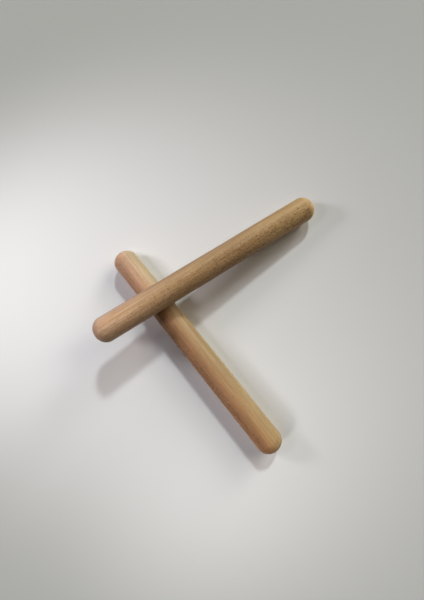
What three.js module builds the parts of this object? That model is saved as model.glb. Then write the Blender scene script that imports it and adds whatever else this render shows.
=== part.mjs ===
// A pair of claves: two loose, solid hardwood sticks, turned to one size with rounded ends.
// One lies flat on the table. The other leans across it, with its near left end in the air
// and its far right end on the table.
// Units are millimetres and +Z is up. The origin is on the table, under the middle of the pair.
import * as THREE from 'three';

// The size of each stick.
const STICK_LENGTH = 200;
const STICK_DIAMETER = 20;
const DOME_LENGTH = 8.7; // how far a rounded end reaches past the straight body

// How the pair lies. A heading is in degrees, turning from +X towards +Y.
const RESTING_HEADING = -50.8;
const STRIKING_HEADING = 32.9;
// Where the sticks cross, measured along each one from its middle, towards its heading.
const RESTING_CROSSING = -46.3;
const STRIKING_CROSSING = -50;
const AIR_GAP = 0.3; // the clear space between the sticks where they cross

// How finely the round shapes are divided.
const SIDES = 48;
const DOME_STEPS = 9;
const LEAN_STEPS = 30;

// What follows from these.
const RADIUS = STICK_DIAMETER / 2;
const DOME_CENTRE = STICK_LENGTH / 2 - DOME_LENGTH;
const CROSSING_ANGLE = THREE.MathUtils.degToRad(STRIKING_HEADING - RESTING_HEADING);
// A side face of the stick is a little nearer its axis than its edges are.
const FACE_RADIUS = RADIUS * Math.cos(Math.PI / SIDES);

// Half of a dome's outline, from the tip of the stick to its straight body.
function domeOutline() {
  const points = [];
  for (let step = 0; step <= DOME_STEPS; step += 1) {
    const turn = (step / DOME_STEPS) * (Math.PI / 2);
    const along = DOME_CENTRE + DOME_LENGTH * Math.cos(turn);
    points.push(new THREE.Vector2(RADIUS * Math.sin(turn), along));
  }
  return points;
}

// The outline of a whole stick, from its tail tip to its head tip.
function stickOutline() {
  const head = domeOutline();
  const tail = head.map((point) => new THREE.Vector2(point.x, -point.y));
  return [...tail, ...head.reverse()];
}

// A stick along X, centred on the origin, with a side face looking straight down.
function stickGeometry() {
  const halfSide = Math.PI / SIDES;
  const geometry = new THREE.LatheGeometry(stickOutline(), SIDES, halfSide);
  geometry.rotateZ(-Math.PI / 2);
  return geometry;
}

function wood(color, roughness) {
  return new THREE.MeshStandardMaterial({ color, roughness, metalness: 0 });
}

function stickMesh(name, material) {
  const mesh = new THREE.Mesh(stickGeometry(), material);
  mesh.name = name;
  return mesh;
}

// How high the axis of the leaning stick is over the crossing, at a given lean.
function crossingHeight(lean) {
  const slope = Math.tan(lean) / Math.sin(CROSSING_ANGLE);
  return RADIUS + (STICK_DIAMETER + AIR_GAP) * Math.hypot(1, slope);
}

// How high the centre of the lower dome is when that dome touches the table.
function lowDomeHeight(lean) {
  return Math.hypot(RADIUS * Math.cos(lean), DOME_LENGTH * Math.sin(lean));
}

// The lean at which the stick clears the other one and its lower end is on the table.
function findLean() {
  const span = DOME_CENTRE - STRIKING_CROSSING;
  let lean = 0;
  for (let step = 0; step < LEAN_STEPS; step += 1) {
    lean = Math.asin((crossingHeight(lean) - lowDomeHeight(lean)) / span);
  }
  return lean;
}

// The stick that lies flat, placed so that the crossing is over the origin.
function restingClave() {
  const mesh = stickMesh('resting_clave', wood(0xcdaf8b, 0.55));
  mesh.position.x = -RESTING_CROSSING;
  const heading = new THREE.Group();
  heading.position.z = FACE_RADIUS;
  heading.rotation.z = THREE.MathUtils.degToRad(RESTING_HEADING);
  heading.add(mesh);
  return heading;
}

// The stick that leans across the other one, with its crossing over the origin.
function strikingClave() {
  const lean = findLean();
  const mesh = stickMesh('striking_clave', wood(0xb5926f, 0.5));
  mesh.rotation.y = lean;
  mesh.position.x = -STRIKING_CROSSING * Math.cos(lean);
  mesh.position.z = crossingHeight(lean) + STRIKING_CROSSING * Math.sin(lean);
  const heading = new THREE.Group();
  heading.rotation.z = THREE.MathUtils.degToRad(STRIKING_HEADING);
  heading.add(mesh);
  return heading;
}

// Moves the pair so that the origin is under the middle of its box.
function centreOnOrigin(pair) {
  pair.updateMatrixWorld(true);
  const middle = new THREE.Box3().setFromObject(pair, true).getCenter(new THREE.Vector3());
  pair.position.set(-middle.x, -middle.y, 0);
}

const group = new THREE.Group();
group.add(restingClave(), strikingClave());
centreOnOrigin(group);

export default group;
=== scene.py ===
"""A pair of wooden claves: one lies on the table, and the other leans across it."""
import math
from types import SimpleNamespace

import bpy
import numpy as np
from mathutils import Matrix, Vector


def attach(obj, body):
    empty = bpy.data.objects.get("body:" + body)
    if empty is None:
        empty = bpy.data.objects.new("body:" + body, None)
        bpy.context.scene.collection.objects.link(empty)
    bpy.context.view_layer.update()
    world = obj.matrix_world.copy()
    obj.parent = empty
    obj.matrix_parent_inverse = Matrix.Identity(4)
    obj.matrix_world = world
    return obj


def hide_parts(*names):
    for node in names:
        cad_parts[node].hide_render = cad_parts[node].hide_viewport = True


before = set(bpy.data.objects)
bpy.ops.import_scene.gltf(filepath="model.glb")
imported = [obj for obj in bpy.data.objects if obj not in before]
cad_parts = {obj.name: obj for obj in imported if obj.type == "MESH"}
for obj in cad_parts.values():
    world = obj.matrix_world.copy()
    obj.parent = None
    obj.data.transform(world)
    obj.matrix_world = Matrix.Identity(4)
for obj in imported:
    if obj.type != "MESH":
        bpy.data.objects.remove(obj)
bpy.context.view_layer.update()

MM = 0.001
FULL_TURN = 2 * math.pi

# The skin of a stick. Lengths are in mm.
SIDES = 176                # points round a stick
RING_SPACING = 0.42        # between rings on the straight body
DOME_RINGS = 26            # steps from the straight body to the tip
DOME_LENGTH = 8.7          # from the straight body to the tip
TIP_FADE = 4               # how fast the sideways unevenness dies away beside the tips

# The slow unevenness of a rod finished by hand, in mm from trough to crest.
HAND_WAVE = 0.045          # of a wave whose strength is 1
OUT_OF_ROUND = 0.05
WAVES = (                  # lobes round the stick, mm from wave to wave along it, strength
    (0, 70, 1.0),
    (1, 90, 0.8),
    (2, 60, 0.9),
    (3, 38, 0.5),
    (5, 24, 0.35),
    (0, 17, 0.3),
)

# The broad flats that sanding leaves on the rounded ends. Facing is 0 on the body and 1 at the tip.
FLATS_PER_END = 7
FLAT_DEPTH = 0.05          # mm
FLAT_FACINGS = (0.25, 0.95)
FLAT_TURN = 0.35           # how far a flat spreads round the stick
FLAT_FACING = 0.28         # how far it spreads between the body and the tip
FLAT_FADE = 3              # how fast the flats die away towards the body

# The dents where the sticks are struck. Lengths are in mm.
DENT_SPREAD = 19           # two thirds of the dents are this near the middle of a stick
DENT_LENGTHS = (1.2, 3.4)  # half lengths, and half widths below
DENT_WIDTHS = (0.7, 1.7)
SHALLOWEST_DENT = 0.03
DEEPEST_DENT = 0.12
DENT_SLANT = 0.5           # the most that a dent slants


# ---------------------------------------------------------------- where the sticks lie

def stick_axis(node):
    """A CAD stick's middle, the direction of its length, half its length and its radius, in metres."""
    points = np.array([v.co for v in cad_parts[node].data.vertices], float)
    middle = (points.min(0) + points.max(0)) / 2
    _, _, directions = np.linalg.svd(points - points.mean(0), full_matrices=False)
    axis = directions[0]
    if axis[0] < 0:
        axis = -axis
    along = (points - middle) @ axis
    middle = middle + axis * (along.min() + along.max()) / 2
    off_axis = (points - middle) - np.outer((points - middle) @ axis, axis)
    radius = np.linalg.norm(off_axis, axis=1).max()
    return middle, axis, (along.max() - along.min()) / 2, radius


def cross_axes(axis):
    """Two directions across a stick: one level, and one as near straight up as it can be."""
    level = np.cross([0.0, 0.0, 1.0], axis)
    level /= np.linalg.norm(level)
    return level, np.cross(axis, level)


# ---------------------------------------------------------------- the skin of a stick

def outline(half_length, radius):
    """Places along a stick and the radius at each, in mm, and how far the skin there faces along it."""
    dome_start = half_length - DOME_LENGTH
    turns = np.linspace(0.0, math.pi / 2, DOME_RINGS + 1)[1:-1]
    dome_along = dome_start + DOME_LENGTH * np.sin(turns)
    dome_radius = radius * np.cos(turns)
    slope_along = np.sin(turns) / DOME_LENGTH
    slope_across = np.cos(turns) / radius
    dome_facing = slope_along / np.hypot(slope_along, slope_across)
    body = np.linspace(-dome_start, dome_start, int(2 * dome_start / RING_SPACING))
    along = np.concatenate([-dome_along[::-1], body, dome_along])
    radii = np.concatenate([dome_radius[::-1], np.full(len(body), radius), dome_radius])
    facing = np.concatenate([dome_facing[::-1], np.zeros(len(body)), dome_facing])
    return along, radii, facing


def waves(rng, along, turn):
    """The slow unevenness of a hand-finished rod, in mm."""
    height = np.zeros(along.shape)
    for lobes, length, strength in WAVES:
        phase, drift = rng.uniform(0, FULL_TURN, 2)
        swing = np.sin(FULL_TURN * along / length + drift)
        height += strength * swing * np.cos(lobes * turn + phase)
    oval = np.cos(2 * turn + rng.uniform(0, math.pi))
    return (HAND_WAVE * height + OUT_OF_ROUND * oval) / 2


def end_flats(rng, along, turn, facing):
    """Broad shallow flats where the rounded ends were sanded by hand, in mm below the dome."""
    depth = np.zeros(along.shape)
    for end in (-1, 1):
        for _ in range(FLATS_PER_END):
            flat_turn = rng.uniform(0, FULL_TURN)
            flat_facing = rng.uniform(*FLAT_FACINGS)
            round_it = (1 - np.cos(turn - flat_turn)) / FLAT_TURN
            towards_tip = ((facing - flat_facing) / FLAT_FACING) ** 2
            near = np.exp(-round_it - towards_tip)
            depth += np.where(along * end > 0, near, 0.0) * np.minimum(FLAT_FADE * facing, 1)
    return FLAT_DEPTH * depth


def dents(rng, along, turn, radius, count):
    """Shallow strike marks about the middle of a stick: their depth in mm, and wear from 0 to 1."""
    depth = np.zeros(along.shape)
    wear = np.zeros(along.shape)
    for _ in range(count):
        place = rng.normal(0, DENT_SPREAD)
        side = rng.uniform(0, FULL_TURN)
        length = rng.uniform(*DENT_LENGTHS)
        width = rng.uniform(*DENT_WIDTHS)
        deepest = rng.uniform(SHALLOWEST_DENT, DEEPEST_DENT)
        slant = rng.uniform(-DENT_SLANT, DENT_SLANT)
        across = radius * np.angle(np.exp(1j * (turn - side)))
        run = (along - place) + slant * across
        spot = np.exp(-(run / length) ** 2 - (across / width) ** 2)
        depth += deepest * spot
        wear = np.maximum(wear, spot * deepest / DEEPEST_DENT)
    return depth, wear


def stick_skin(rng, half_length, radius, dent_count):
    """The points of a stick's skin in its own axes, in mm, how far each faces along it, and its wear.

    The rings of points come first, and then the two tips.
    """
    ring_along, ring_radii, ring_facing = outline(half_length, radius)
    turns = np.linspace(0, FULL_TURN, SIDES, endpoint=False)
    along, turn = np.meshgrid(ring_along, turns, indexing="ij")
    facing = np.repeat(ring_facing[:, None], SIDES, axis=1)
    radii = ring_radii[:, None]
    dent_depth, wear = dents(rng, along, turn, radius, dent_count)
    lift = waves(rng, along, turn)
    lift -= end_flats(rng, along, turn, facing)
    lift -= dent_depth
    across = radii + lift * np.sqrt(1 - facing**2) * np.minimum(TIP_FADE * radii / radius, 1)
    along = along + np.sign(along) * lift * facing
    points = np.stack([along, across * np.cos(turn), across * np.sin(turn)], axis=-1).reshape(-1, 3)
    tips = [[-half_length, 0, 0], [half_length, 0, 0]]
    return np.concatenate([points, tips]), np.append(facing, [1.0, 1.0]), np.append(wear, [0.0, 0.0])


def ring_faces(ring_count):
    """Quads between neighbouring rings, and a fan of triangles to each tip, all facing out."""
    faces = []
    for ring in range(ring_count - 1):
        low = ring * SIDES
        high = low + SIDES
        for side in range(SIDES):
            following = (side + 1) % SIDES
            faces.append((low + side, low + following, high + following, high + side))
    last = (ring_count - 1) * SIDES
    tail = ring_count * SIDES
    head = tail + 1
    for side in range(SIDES):
        following = (side + 1) % SIDES
        faces.append((tail, following, side))
        faces.append((head, last + side, last + following))
    return faces


def store(mesh, name, kind, values):
    """Keeps one value or vector for each point on the mesh."""
    attribute = mesh.attributes.new(name, kind, "POINT")
    field = "vector" if kind == "FLOAT_VECTOR" else "value"
    attribute.data.foreach_set(field, np.asarray(values, np.float32).ravel())


def stick_piece(name, node, seed, dent_count):
    """A clave as one closed skin, with the attributes that its wood is painted by."""
    middle, axis, half_length, radius = stick_axis(node)
    level, upward = cross_axes(axis)
    rng = np.random.default_rng(seed)
    points, facing, wear = stick_skin(rng, half_length / MM, radius / MM, dent_count)
    placed = middle + MM * points @ np.stack([axis, level, upward])
    mesh = bpy.data.meshes.new(name)
    mesh.from_pydata(placed.tolist(), [], ring_faces(len(points) // SIDES))
    mesh.polygons.foreach_set("use_smooth", np.ones(len(mesh.polygons), bool))
    store(mesh, "stick_place", "FLOAT_VECTOR", points)
    store(mesh, "end_facing", "FLOAT", facing)
    store(mesh, "strike_wear", "FLOAT", wear)
    piece = bpy.data.objects.new(name, mesh)
    bpy.context.scene.collection.objects.link(piece)
    return piece


# ---------------------------------------------------------------- node helpers

# Nearly all of a cloudy noise lies between these.
NOISE_LOW = 0.25
NOISE_HIGH = 0.75


class Nodes:
    """Makes shader nodes. An input given as a socket is linked, and any other is set."""

    def __init__(self, material):
        material.use_nodes = True
        self.tree = material.node_tree
        self.tree.nodes.clear()

    def make(self, kind, settings=None, **inputs):
        node = self.tree.nodes.new(kind)
        for key, value in (settings or {}).items():
            setattr(node, key, value)
        for key, value in inputs.items():
            self.put(node.inputs[key.replace("_", " ")], value)
        return node

    def put(self, socket, value):
        if isinstance(value, bpy.types.NodeSocket):
            self.tree.links.new(value, socket)
        elif socket.type == "RGBA":
            socket.default_value = (*value, 1.0)
        else:
            socket.default_value = value

    def math(self, operation, *values):
        node = self.make("ShaderNodeMath", {"operation": operation})
        for socket, value in zip(node.inputs, values):
            self.put(socket, value)
        return node.outputs[0]

    def add(self, first, second):
        return self.math("ADD", first, second)

    def subtract(self, first, second):
        return self.math("SUBTRACT", first, second)

    def multiply(self, first, second):
        return self.math("MULTIPLY", first, second)

    def divide(self, first, second):
        return self.math("DIVIDE", first, second)

    def vector(self, operation, *values):
        node = self.make("ShaderNodeVectorMath", {"operation": operation})
        for socket, value in zip(node.inputs, values):
            self.put(socket, value)
        return node.outputs["Value"] if operation in ("LENGTH", "DOT_PRODUCT") else node.outputs[0]

    def parts(self, vector):
        """The three numbers of a vector."""
        return self.make("ShaderNodeSeparateXYZ", Vector=vector).outputs

    def attribute(self, name, output):
        """What the mesh holds at each point under this name."""
        return self.make("ShaderNodeAttribute", {"attribute_name": name}).outputs[output]

    def stretch(self, value, low, high, to_low=0.0, to_high=1.0, smooth=True):
        """The value rescaled from one range to another, held at both ends."""
        node = self.make("ShaderNodeMapRange")
        node.interpolation_type = "SMOOTHSTEP" if smooth else "LINEAR"
        for socket, item in zip(node.inputs, (value, low, high, to_low, to_high)):
            self.put(socket, item)
        return node.outputs[0]

    def blend(self, share, first, second, how="MIX"):
        """Two colours mixed. This node's colour sockets come after those for numbers and vectors."""
        node = self.make("ShaderNodeMix", {"data_type": "RGBA", "blend_type": how})
        for index, value in ((0, share), (6, first), (7, second)):
            self.put(node.inputs[index], value)
        return node.outputs[2]

    def tint(self, colour, by):
        """One colour multiplied by another."""
        return self.blend(1.0, colour, by, "MULTIPLY")

    def grey(self, value, low, high):
        """A grey that runs from low to high with a noise."""
        level = self.stretch(value, NOISE_LOW, NOISE_HIGH, low, high, smooth=False)
        return self.make("ShaderNodeCombineColor", Red=level, Green=level, Blue=level).outputs[0]

    def noise(self, place, along, across, detail=3.0, roughness=0.55):
        """Cloudy noise from 0 to 1, with so many cells for each mm along the stick and across it."""
        where = self.vector("MULTIPLY", place, (along, across, across))
        node = self.make("ShaderNodeTexNoise", Vector=where, Scale=1.0, Detail=detail, Roughness=roughness)
        return node.outputs[0]


# ---------------------------------------------------------------- the two woods

class Wood(SimpleNamespace):
    """What one stick was cut from. Lengths are in mm, and colours are linear.

    name          the material and its slot
    pale, deep    the streaks run between these two colours
    heart_tint   painted shade on the side nearer the pith: darker on the
                                lit far side of the striking stick, redder and a little
                                darker on the shaded near side of the resting one
    sap_tint   on the side nearer the bark: painted light on the shaded
                                near side of the striking stick, a little painted shade
                                on the lit far side of the resting one
    tail_tint        painted light at the left end, a pale bluish veil
    middle_tint      about the middle, painted shade on the striking stick
    head_tint        at the right end, painted light on the striking stick
    pith          the way from the pith to the axis of the stick, level and upward
    run_out       how far the grain slants, for each mm along the stick
    ring_width    from one year to the next
    origin        which part of the endless grain the stick shows
    fleck         how strongly the ray flecks show
    tail_flecks   the share of that at the left end
    ring_share    how strongly the late wood shows
    """


# The resting stick's tints paint shade and light: redder and a little darker on its shaded near side, a
# little darker on its lit far side, and pale and bluish at its left end.
PALE_BEECH = Wood(
    name="pale_beech", pale=(0.500, 0.367, 0.219), deep=(0.433, 0.294, 0.159),
    heart_tint=(1.09, 0.845, 0.77), sap_tint=(0.94, 0.965, 0.89),
    tail_tint=(1.23, 1.42, 1.78), middle_tint=(0.98, 1.00, 1.03), head_tint=(1.03, 1.00, 0.96),
    pith=(30.0, -15.0), run_out=0.02, ring_width=2.7, origin=(340.0, 55.0, -20.0),
    fleck=0.90, tail_flecks=0.60, ring_share=0.20)
# The striking stick's tints paint shade and light: darker on its lit far side and about its middle,
# lighter on its shaded near side and at both ends.
PINK_BEECH = Wood(
    name="pink_beech", pale=(0.506, 0.360, 0.239), deep=(0.413, 0.270, 0.158),
    heart_tint=(0.83, 0.815, 0.83), sap_tint=(1.16, 1.13, 0.97),
    tail_tint=(1.19, 1.20, 1.42), middle_tint=(0.89, 0.89, 0.88), head_tint=(1.17, 1.22, 1.12),
    pith=(-29.0, 21.0), run_out=-0.03, ring_width=2.2, origin=(-120.0, 17.0, 90.0),
    fleck=0.80, tail_flecks=0.35, ring_share=0.25)

# Places in a stick are in mm: along it from its middle, level across it, and upward.
TAIL_X = -95               # near the left end
HEAD_X = 95                # near the right end
MIDDLE_X = (-10, 15)       # the painted shading about the middle is whole between these
PITH_TO_BARK_SHADING = (-8, 7)     # from the axis of the stick, going out from the pith; the painted shading across the stick changes over this span

PITH_WOBBLE = 5.0          # mm, how far the pith strays from straight
RING_WOBBLE = 1.4          # years
LATE_WOOD_RISE = 2.6       # a higher number makes the late wood thinner
YEAR_END = 0.93            # the part of a year after which the late wood stops

# The rays of beech, cut through. Each fleck has a cell: its mm along the grain, round the pith and out.
BROAD_FLECKS = (2.4, 0.66, 14.0)
BROAD_REACH = 0.62         # cells, from the middle of a fleck to its edge
FINE_FLECKS = (1.5, 0.34, 8.0)
FINE_REACH = 0.50
FINE_SHARE = 0.8           # how strong the fine flecks are beside the broad ones
FLECK_CORE = 0.3           # the part of its reach where a fleck is darkest
FAINTER_FLECKS = 0.75      # the part of all flecks that are less than fully dark

# Where the flecks show, and the share that shows elsewhere.
FLAT_SAWN = (0.40, 0.85)   # from sides cut across the rings to sides cut along them
QUARTER_SAWN_FLECKS = 0.10
FLECKED_X = 60             # mm, from here to the right end they are at their strongest
FLECKED_SIDE = (8, -1)     # mm, from the far side of the stick to just past its top
FAR_SIDE_FLECKS = 0.25
FLECK_FACING = 0.70        # they have died away where an end faces along the stick as much as this

# The streaks, pores and end grain: where each begins and where it is whole.
STREAK_EDGES = (0.30, 0.72)
PORE_EDGES = (0.58, 0.72)
END_GRAIN_EDGES = (0.55, 1.0)

# The colours of the marks in the wood, and how strongly those of one strength show.
LATE_WOOD = (0.34, 0.19, 0.085)
RAY_BROWN = (0.235, 0.115, 0.042)
PORE_BROWN = (0.22, 0.125, 0.06)
PORE_SHARE = 0.30
END_GRAIN = (0.42, 0.22, 0.12)
END_GRAIN_SHARE = 0.30
WORN = (0.30, 0.19, 0.11)
WORN_SHARE = 0.22

# How each pattern darkens and lightens the wood, and how high it stands in mm.
SHADES = {"lines": (0.85, 1.13), "fibres": (0.86, 1.12), "clouds": (0.93, 1.06)}
RELIEF = {
    "fibres": 0.022,
    "lines": 0.035,
    "pores": -0.030,
    "rays": -0.020,
    "rings": 0.012,
    "scratches": 0.006,
}

SATIN = (0.46, 0.60)       # the least and the greatest roughness of the fibres
WORN_POLISH = 0.10
PORE_DULLNESS = 0.10


# ---------------------------------------------------------------- the material of wood

def tree_place(n, wood, stick_place):
    """How far a point was from the pith and how far round it, in mm, and the way out from the pith."""
    along, level, upward = n.parts(stick_place)
    wobble = n.noise(stick_place, along=0.012, across=0.05, detail=2.0)
    shift = n.multiply(n.subtract(wobble, 0.5), PITH_WOBBLE)
    slant = n.multiply(along, wood.run_out)
    level = n.add(n.add(level, wood.pith[0]), n.add(shift, slant))
    upward = n.add(upward, wood.pith[1])
    from_pith = n.make("ShaderNodeCombineXYZ", Y=level, Z=upward).outputs[0]
    distance = n.vector("LENGTH", from_pith)
    round_it = n.multiply(n.math("ARCTAN2", upward, level), math.hypot(*wood.pith))
    return distance, round_it, n.vector("NORMALIZE", from_pith)


def growth_rings(n, wood, place, distance):
    """0 in the soft early wood, rising to 1 at the thin late wood that closes each year's ring."""
    uneven = n.multiply(n.noise(place, along=0.004, across=0.06, detail=1.0), RING_WOBBLE)
    year = n.add(n.divide(distance, wood.ring_width), uneven)
    part = n.math("FRACT", year)
    rise = n.math("POWER", part, LATE_WOOD_RISE)
    return n.multiply(rise, n.stretch(part, YEAR_END, 1.0, 1.0, 0.0))


def ray_flecks(n, along, distance, round_it, size, reach):
    """Rays cut through: short dark dashes on one side of a stick, and broad flakes on another."""
    where = n.make(
        "ShaderNodeCombineXYZ",
        X=n.divide(along, size[0]),
        Y=n.divide(round_it, size[1]),
        Z=n.divide(distance, size[2]),
    )
    spots = n.make("ShaderNodeTexVoronoi", Vector=where.outputs[0], Scale=1.0, Randomness=1.0)
    body = n.stretch(spots.outputs["Distance"], reach, reach * FLECK_CORE)
    strength = n.make("ShaderNodeSeparateColor", Color=spots.outputs["Color"]).outputs[0]
    return n.multiply(body, n.stretch(strength, 0.0, FAINTER_FLECKS))


def fleck_share(n, wood, stick_place, outward, facing):
    """How much the flecks show: most on flat-sawn sides, on the near side and towards the right end."""
    along, level, _ = n.parts(stick_place)
    side = n.vector("NORMALIZE", n.vector("MULTIPLY", stick_place, (0, 1, 1)))
    flat_sawn = n.math("ABSOLUTE", n.vector("DOT_PRODUCT", side, outward))
    share = n.stretch(flat_sawn, *FLAT_SAWN, QUARTER_SAWN_FLECKS, 1.0)
    share = n.multiply(share, n.stretch(along, TAIL_X, FLECKED_X, wood.tail_flecks, 1.0))
    share = n.multiply(share, n.stretch(level, *FLECKED_SIDE, FAR_SIDE_FLECKS, 1.0))
    return n.multiply(share, n.stretch(facing, FLECK_FACING, 0.0))


def wood_grain(n, wood, stick_place, facing, distance, round_it, outward):
    """The patterns in the wood, each from 0 to about 1."""
    along = n.parts(stick_place)[0]
    place = n.vector("ADD", stick_place, wood.origin)
    broad = ray_flecks(n, along, distance, round_it, BROAD_FLECKS, BROAD_REACH)
    fine = ray_flecks(n, along, distance, round_it, FINE_FLECKS, FINE_REACH)
    rays = n.add(broad, n.multiply(fine, FINE_SHARE))
    return {
        "rings": growth_rings(n, wood, place, distance),
        "rays": n.multiply(rays, fleck_share(n, wood, stick_place, outward, facing)),
        "fibres": n.noise(place, along=0.22, across=4.6, roughness=0.65),
        "lines": n.noise(place, along=0.035, across=1.25, roughness=0.6),
        "pores": n.stretch(n.noise(place, along=0.6, across=7.5, detail=2.0), *PORE_EDGES),
        "streaks": n.noise(place, along=0.012, across=0.32, roughness=0.6),
        "clouds": n.noise(place, along=0.035, across=0.09, detail=2.0),
        "scratches": n.noise(place, along=6.0, across=0.5, detail=2.0),
    }


def broad_colour(n, wood, streaks, along, distance):
    """The streaks, with painted light and shade across the stick from the pith side to the bark side, and
    along it from end to end.
    """
    axis_distance = math.hypot(*wood.pith)
    # how far a point lies from the pith side to the bark side, for the painted shading across the stick
    bark_side_shading_share = n.stretch(distance, axis_distance + PITH_TO_BARK_SHADING[0], axis_distance + PITH_TO_BARK_SHADING[1])
    # painted light and shade along the stick, from the left end through the middle to the right end
    ends = n.blend(n.stretch(along, TAIL_X, MIDDLE_X[0]), wood.tail_tint, wood.middle_tint)
    ends = n.blend(n.stretch(along, MIDDLE_X[1], HEAD_X), ends, wood.head_tint)
    colour = n.blend(n.stretch(streaks, *STREAK_EDGES), wood.pale, wood.deep)
    # paints shade and light across the stick
    colour = n.tint(colour, n.blend(bark_side_shading_share, wood.heart_tint, wood.sap_tint))
    # paints light and shade along the stick
    return n.tint(colour, ends)


def marked_colour(n, wood, colour, grain, facing, wear):
    """The broad colour with the marks of the grain on it, the end grain and the worn spots."""
    colour = n.blend(n.multiply(grain["rings"], wood.ring_share), colour, LATE_WOOD)
    colour = n.blend(n.multiply(grain["rays"], wood.fleck), colour, RAY_BROWN)
    colour = n.blend(n.multiply(grain["pores"], PORE_SHARE), colour, PORE_BROWN)
    for pattern, (dark, light) in SHADES.items():
        colour = n.tint(colour, n.grey(grain[pattern], dark, light))
    end_grain = n.multiply(n.stretch(facing, *END_GRAIN_EDGES), END_GRAIN_SHARE)
    colour = n.blend(end_grain, colour, END_GRAIN)
    return n.blend(n.multiply(wear, WORN_SHARE), colour, WORN)


def wood_roughness(n, grain, wear):
    """Satin, duller in the pores and polished where the sticks strike."""
    roughness = n.stretch(grain["fibres"], NOISE_LOW, NOISE_HIGH, *SATIN)
    roughness = n.subtract(roughness, n.multiply(wear, WORN_POLISH))
    return n.add(roughness, n.multiply(grain["pores"], PORE_DULLNESS))


def wood_relief(n, grain):
    """The fine relief of sanded wood."""
    height = 0.0
    for pattern, rise in RELIEF.items():
        height = n.add(height, n.multiply(grain[pattern], rise))
    return n.make("ShaderNodeBump", Strength=0.85, Distance=MM, Height=height).outputs[0]


def wood_material(wood):
    """Solid wood, which follows the stick because it is worked out in the stick's own axes."""
    material = bpy.data.materials.new(wood.name)
    n = Nodes(material)
    stick_place = n.attribute("stick_place", "Vector")
    facing = n.attribute("end_facing", "Fac")
    wear = n.attribute("strike_wear", "Fac")
    along = n.parts(stick_place)[0]
    distance, round_it, outward = tree_place(n, wood, stick_place)
    grain = wood_grain(n, wood, stick_place, facing, distance, round_it, outward)
    colour = broad_colour(n, wood, grain["streaks"], along, distance)
    shader = n.make(
        "ShaderNodeBsdfPrincipled",
        Base_Color=marked_colour(n, wood, colour, grain, facing, wear),
        Roughness=wood_roughness(n, grain, wear),
        Normal=wood_relief(n, grain),
        IOR=1.46,
        Specular_IOR_Level=0.35,
        Coat_Weight=0.04,
        Coat_Roughness=0.32,
    )
    n.make("ShaderNodeOutputMaterial", Surface=shader.outputs[0])
    return material


# ---------------------------------------------------------------- the stage

CAMERA_PLACE = (21.2 * MM, -15.9 * MM, 290.4 * MM)
CAMERA_TURN = (6.74, 3.99, 0.0)    # degrees from looking straight down
LENS = 21.0                        # mm
SENSOR_WIDTH = 36.0                # mm
NEAREST_VIEW = 0.01                # metres

FLOOR_REACH = 8.0                  # metres from the middle to each side
FLOOR_COLOUR = (0.83, 0.84, 0.845)
ROOM_COLOUR = (0.39, 0.395, 0.385)

FAR_LIGHT_DISTANCE = 3.0           # metres
NEAR_LIGHT_DISTANCE = 0.46
NEAR_LIGHT_RADIUS = 0.06
LEFT_ENDS = (-90 * MM, 20 * MM, 10 * MM)
BESIDE_NEAR_END = (28 * MM, -128 * MM, 10 * MM)    # past the wood, so that the floor is lit


def make_camera():
    data = bpy.data.cameras.new("camera")
    data.lens = LENS
    data.sensor_width = SENSOR_WIDTH
    data.clip_start = NEAREST_VIEW
    camera = bpy.data.objects.new("camera", data)
    camera.location = CAMERA_PLACE
    camera.rotation_euler = [math.radians(a) for a in CAMERA_TURN]
    bpy.context.scene.collection.objects.link(camera)
    bpy.context.scene.camera = camera


def floor_material():
    material = bpy.data.materials.new("floor")
    n = Nodes(material)
    shader = n.make("ShaderNodeBsdfDiffuse", Color=FLOOR_COLOUR)
    n.make("ShaderNodeOutputMaterial", Surface=shader.outputs[0])
    return material


def make_floor():
    half = FLOOR_REACH
    corners = [(-half, -half, 0), (half, -half, 0), (half, half, 0), (-half, half, 0)]
    mesh = bpy.data.meshes.new("floor")
    mesh.from_pydata(corners, [], [(0, 1, 2, 3)])
    mesh.materials.append(floor_material())
    floor = bpy.data.objects.new("floor", mesh)
    bpy.context.scene.collection.objects.link(floor)


def aim(light, azimuth, elevation, distance):
    """Puts a light where it faces the pair. Azimuth is in degrees from +X towards +Y."""
    around = math.radians(azimuth)
    above = math.radians(elevation)
    level = math.cos(above)
    back = Vector((math.cos(around) * level, math.sin(around) * level, math.sin(above)))
    light.location = back * distance
    light.rotation_mode = "QUATERNION"
    light.rotation_quaternion = back.to_track_quat("Z", "Y")
    light.visible_camera = False
    bpy.context.scene.collection.objects.link(light)


def far_light(name, azimuth, elevation, spread, strength, colour):
    """A large soft light so far away that it lights the whole floor alike. Spread is in degrees."""
    data = bpy.data.lights.new(name, "SUN")
    data.energy = strength
    data.angle = math.radians(spread)
    data.color = colour
    aim(bpy.data.objects.new(name, data), azimuth, elevation, FAR_LIGHT_DISTANCE)


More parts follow.
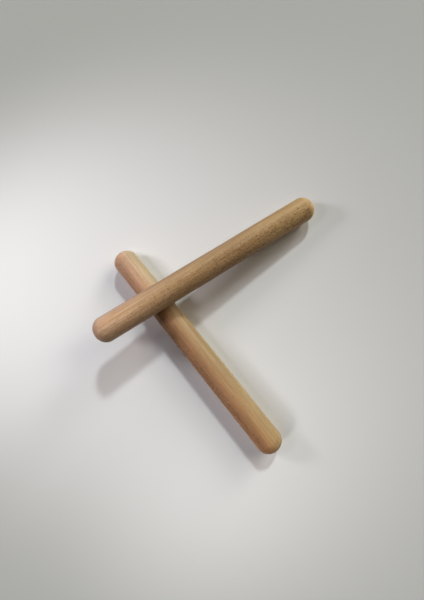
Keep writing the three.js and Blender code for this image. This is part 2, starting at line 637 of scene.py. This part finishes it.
def near_light(name, target, azimuth, elevation, spread, power, colour):
    """A soft spotlight on one place, which fades out round it. Spread is in degrees."""
    data = bpy.data.lights.new(name, "SPOT")
    data.energy = power
    data.color = colour
    data.shadow_soft_size = NEAR_LIGHT_RADIUS
    data.spot_size = math.radians(spread)
    data.spot_blend = 1.0
    light = bpy.data.objects.new(name, data)
    aim(light, azimuth, elevation, NEAR_LIGHT_DISTANCE)
    light.location += Vector(target)


def make_lights():
    """Light from beyond the pair and from its right, with soft fill at its left ends and near end."""
    far_light("key", 75, 41, spread=5.5, strength=0.96, colour=(0.93, 1.0, 1.0))
    far_light("low_window", 50, 20, spread=20, strength=0.90, colour=(1.0, 0.96, 0.90))
    far_light("right_fill", 30, 35, spread=28, strength=0.80, colour=(1.0, 0.90, 0.76))
    near_light("left_fill", LEFT_ENDS, 166, 38, spread=60, power=2.7, colour=(1.0, 0.94, 1.0))
    near_light("left_top", LEFT_ENDS, 182, 62, spread=55, power=1.5, colour=(1.0, 0.94, 0.98))
    near_light("near_fill", BESIDE_NEAR_END, 218, 42, spread=27, power=2.3, colour=(1.0, 0.95, 0.95))


def make_room():
    """A plain backdrop that only the camera sees."""
    world = bpy.data.worlds.new("room")
    bpy.context.scene.world = world
    world.use_nodes = True
    world.node_tree.nodes["Background"].inputs["Color"].default_value = (*ROOM_COLOUR, 1.0)
    world.cycles_visibility.diffuse = False
    world.cycles_visibility.glossy = False


def set_contrast():
    """How the light in the scene becomes the tones of the picture."""
    view = bpy.context.scene.view_settings
    view.view_transform = "Standard"
    view.look = "Medium High Contrast"


# ---------------------------------------------------------------- putting it together

def make_clave(node, wood, seed, dent_count):
    """The detailed stick that stands for a CAD node, on the CAD body of the same name."""
    piece = stick_piece(node + "_wood", node, seed, dent_count)
    piece.data.materials.append(wood_material(wood))
    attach(piece, node)
    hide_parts(node)


make_camera()
make_floor()
make_lights()
make_room()
set_contrast()
make_clave("resting_clave", PALE_BEECH, seed=11, dent_count=34)
make_clave("striking_clave", PINK_BEECH, seed=23, dent_count=26)
